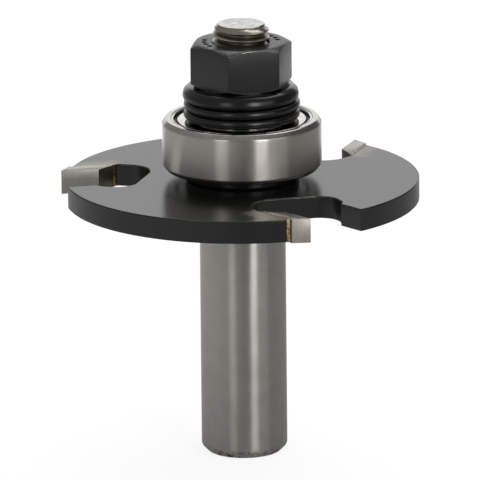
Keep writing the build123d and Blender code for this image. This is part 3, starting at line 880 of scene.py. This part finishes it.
def make_tips():
    """Each tip keeps its faces apart: both ground sides, the relief behind the cutting edge,
    the ground part of the rake, and the sintered skin further in. Their tones partly paint
    in the light and shade that falls on each face."""
    side, relief, rake, skin = range(4)
    for wing in range(WING_COUNT):
        node = f"carbide_tip_{wing + 1}"
        inward_angle = FIRST_TIP_ANGLE + wing * 2 * math.pi / WING_COUNT + HOOK_ANGLE + math.pi
        inward = Vector((math.cos(inward_angle), math.sin(inward_angle), 0))
        ahead = Vector((math.sin(inward_angle), -math.cos(inward_angle), 0))
        bm = merged_copy(node)
        for face in bm.faces:
            if abs(face.normal.z) > 0.7:
                face.material_index = side
            elif face.normal.dot(ahead) > 0.95:
                face.material_index = rake
            elif face.normal.dot(inward) < -0.3:
                face.material_index = relief
            else:
                face.material_index = skin
        bevel_edges(bm, bm.edges[:], TIP_EDGE_ROUNDING, 2)
        finished(
            f"{node}_ground", bm, "arbor_assembly", "carbide",
            (carbide_side, carbide_relief, carbide_rake, carbide_skin_and_shade), node,
        )


def make_brazes():
    """A braze joint is a thin wall of metal with soft, uneven edges."""
    for wing in range(WING_COUNT):
        node = f"braze_joint_{wing + 1}"
        bm = merged_copy(node)
        bevel_edges(bm, bm.edges[:], BRAZE_EDGE_ROUNDING, 3)
        long_edges = [e for e in bm.edges if e.calc_length() > BRAZE_LONG_EDGE]
        bmesh.ops.subdivide_edges(bm, edges=long_edges, cuts=BRAZE_CUTS, use_grid_fill=True)
        bmesh.ops.triangulate(bm, faces=[f for f in bm.faces if len(f.verts) > 4])
        for vert in bm.verts:
            vert.co += vert.normal * BRAZE_UNEVENNESS * noise.noise(vert.co * grains(0.5))
        finished(f"{node}_bead", bm, "arbor_assembly", "braze", (brazing,), node)


def finish_kept_nodes():
    """CAD nodes whose shape is already right keep it, and get a finish in their own slots."""
    finishes = {
        "cutter_body": coating,
        "bearing_inner_ring": ring_steel,
        "cage_upper": sheet_steel,
        "cage_lower": sheet_steel,
        "cage_rivets": sheet_steel,
    }
    for name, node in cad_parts.items():
        if name.startswith("bearing_ball_"):
            finishes[name] = ball_steel
        if name in finishes:
            node.material_slots[0].material = finishes[name]


make_arbor()
make_spacers()
make_outer_ring()
make_shields()
make_nut()
make_tips()
make_brazes()
finish_kept_nodes()


# Studio: a room with a white sweep behind the bit and a dim front, as the steel shows it
FLOOR_RADIUS = 4.0
FLOOR_DROP = 0.02 * MM
FLOOR_GREY = "#828281"
# The glow that lifts the paper to white for the eye, and how bright the steel sees it
FLOOR_LIFT = 0.845
FLOOR_SHEEN_FRONT = 0.12
FLOOR_SHEEN_LEFT = 0.27
FLOOR_SHEEN_RIGHT = 0.09
FLOOR_SHEEN_BACK = 0.9
# The bright part of the floor is an oval behind the bit. Each side has its own fade across.
OVAL_CENTRE = (0, 250 * MM, 0)
OVAL_SQUEEZE = (0.75, 1, 0)
OVAL_RADIUS = 60 * MM
OVAL_EDGE_RADIUS = 150 * MM
LEFT_FADE = (10 * MM, -110 * MM)
RIGHT_FADE = (60 * MM, 180 * MM)
# The room: even light for paint and paper, and what the steel sees of the walls
AMBIENT = 0.45
ROOM_LIGHT_LEFT = 0.28
ROOM_LIGHT_RIGHT = 0.1
ROOM_FADE = (-0.5, 0.5)
BACKDROP_LIGHT = 1.12
BACKDROP_FADE = (0.84, 0.94)
OVERHEAD_LIGHT = 0.3
OVERHEAD_FADE = (math.sin(math.radians(35)), math.sin(math.radians(60)))
# The lamps: azimuth and elevation in degrees, distance, width and height in metres, and
# radiance. Azimuth 0 is the front, to the right is positive, and a radiance of 1 is white.
softboxes = {
    "right_softbox": (28.8, 20, 1.6, 0.49, 0.85, 4.6),
    "right_reflector": (54, 20, 1.6, 0.8, 0.85, 0.9),
    "left_softbox": (-29.5, 20, 1.6, 0.46, 0.85, 1.6),
    "top_softbox": (160, 62, 0.9, 0.9, 0.6, 1.9),
}
# The camera's place and aim, worked out from the circles of the disc, bearing and shank
CAMERA_PLACE = Vector((0, -1216.3, 354.5)) * MM
CAMERA_AIM = Vector((-0.386, 0, 30.221)) * MM
CAMERA_ROLL = math.radians(-0.532)
CAMERA_LENS = 677.23


def make_floor():
    """White paper. To the eye it is white with the bit's soft shadow, and in the steel it
    is grey beside the bit and white further back."""
    bm = bmesh.new()
    bmesh.ops.create_circle(bm, cap_ends=True, radius=FLOOR_RADIUS, segments=96)
    # A hair below the shank's end, so that the two faces don't share a plane.
    bmesh.ops.translate(bm, verts=bm.verts[:], vec=(0, 0, -FLOOR_DROP))
    mesh = bpy.data.meshes.new("floor")
    bm.to_mesh(mesh)
    bm.free()
    floor = bpy.data.objects.new("floor", mesh)
    bpy.context.scene.collection.objects.link(floor)
    material = bpy.data.materials.new("floor_paper")
    material.use_nodes = True
    tree = material.node_tree
    tree.nodes.clear()
    path = add(tree, "LightPath")
    place = add(tree, "TexCoord").outputs["Object"]
    squeezed = add(tree, "VectorMath", {0: place, 1: OVAL_SQUEEZE}, operation="MULTIPLY")
    gap = add(tree, "VectorMath", {0: squeezed, 1: OVAL_CENTRE}, operation="DISTANCE")
    sheen = add(
        tree, "MapRange",
        {"Value": gap.outputs["Value"], "From Min": OVAL_EDGE_RADIUS, "From Max": OVAL_RADIUS,
         "To Min": FLOOR_SHEEN_FRONT, "To Max": FLOOR_SHEEN_BACK},
        interpolation_type="SMOOTHSTEP",
    )
    across = add(tree, "SeparateXYZ", {"Vector": place}).outputs["X"]
    for (begins, ends), gain in ((LEFT_FADE, FLOOR_SHEEN_LEFT), (RIGHT_FADE, FLOOR_SHEEN_RIGHT)):
        side = add(
            tree, "MapRange",
            {"Value": across, "From Min": begins, "From Max": ends, "To Max": gain},
        )
        sheen = add(tree, "Math", {0: sheen, 1: side}, operation="ADD")
    mirrored = add(
        tree, "Math", {0: path.outputs["Is Glossy Ray"], 1: sheen}, operation="MULTIPLY"
    )
    seen = add(
        tree, "Math",
        {0: path.outputs["Is Camera Ray"], 1: path.outputs["Is Transmission Ray"]},
        operation="MAXIMUM",
    )
    lift = add(tree, "Math", {0: seen, 1: FLOOR_LIFT}, operation="MULTIPLY")
    glow = add(tree, "Math", {0: lift, 1: mirrored}, operation="MAXIMUM")
    light = add(tree, "Emission", {"Color": "#ffffff", "Strength": glow})
    paper = add(tree, "BsdfDiffuse", {"Color": FLOOR_GREY})
    both = add(tree, "AddShader", {0: paper, 1: light})
    add(tree, "OutputMaterial", {"Surface": both})
    mesh.materials.append(material)


def make_world():
    """The room. The eye sees white, the steel sees grey walls with a white backdrop, and
    all else gets even light."""
    world = bpy.data.worlds.new("studio")
    world.use_nodes = True
    bpy.context.scene.world = world
    tree = world.node_tree
    tree.nodes.clear()
    path = add(tree, "LightPath")
    direction = add(tree, "SeparateXYZ", {"Vector": add(tree, "TexCoord").outputs["Generated"]})
    sides = add(
        tree, "MapRange",
        {"Value": direction.outputs["X"], "From Min": ROOM_FADE[0], "From Max": ROOM_FADE[1],
         "To Min": ROOM_LIGHT_LEFT, "To Max": ROOM_LIGHT_RIGHT},
    )
    walls = add(
        tree, "MapRange",
        {"Value": direction.outputs["Y"], "From Min": BACKDROP_FADE[0],
         "From Max": BACKDROP_FADE[1], "To Min": sides, "To Max": BACKDROP_LIGHT},
        interpolation_type="SMOOTHSTEP",
    )
    room = add(
        tree, "MapRange",
        {"Value": direction.outputs["Z"], "From Min": OVERHEAD_FADE[0],
         "From Max": OVERHEAD_FADE[1], "To Min": walls, "To Max": OVERHEAD_LIGHT},
        interpolation_type="SMOOTHSTEP",
    )
    mirrored = add(
        tree, "Math",
        {0: path.outputs["Is Glossy Ray"], 1: path.outputs["Is Transmission Ray"]},
        operation="MAXIMUM",
    )
    seen = add(tree, "Mix", {"Factor": mirrored, "A": AMBIENT, "B": room})
    strength = add(tree, "Mix", {"Factor": path.outputs["Is Camera Ray"], "A": seen, "B": 1.0})
    light = add(tree, "Background", {"Color": "#ffffff", "Strength": strength})
    add(tree, "OutputWorld", {"Surface": light})


def softbox(name, azimuth, elevation, distance, width, height, radiance):
    """A rectangular lamp aimed at the bearing, with its power worked out from its face.
    The eye doesn't see the lamp itself."""
    data = bpy.data.lights.new(name, "AREA")
    data.shape = "RECTANGLE"
    data.size = width
    data.size_y = height
    data.energy = radiance * math.pi * width * height
    lamp = bpy.data.objects.new(name, data)
    bpy.context.scene.collection.objects.link(lamp)
    turn, rise = math.radians(azimuth), math.radians(elevation)
    away = Vector((
        math.sin(turn) * math.cos(rise), -math.cos(turn) * math.cos(rise), math.sin(rise)
    ))
    target = Vector((0, 0, bearing_middle))
    lamp.location = target + away * distance
    lamp.rotation_euler = away.to_track_quat("Z", "Y").to_euler()
    lamp.visible_camera = False


def make_camera():
    """A long lens 1.26 m off, looking down at the bit by 15 degrees."""
    data = bpy.data.cameras.new("camera")
    data.sensor_width = 36
    data.lens = CAMERA_LENS
    data.clip_start = 0.1
    data.clip_end = 20
    camera = bpy.data.objects.new("camera", data)
    bpy.context.scene.collection.objects.link(camera)
    camera.location = CAMERA_PLACE
    towards = (CAMERA_AIM - CAMERA_PLACE).to_track_quat("-Z", "Y")
    camera.rotation_mode = "QUATERNION"
    camera.rotation_quaternion = towards @ Quaternion((0, 0, 1), CAMERA_ROLL)
    bpy.context.scene.camera = camera


make_floor()
make_world()
for name, setting in softboxes.items():
    softbox(name, *setting)
make_camera()
bpy.context.scene.view_settings.view_transform = "Standard"
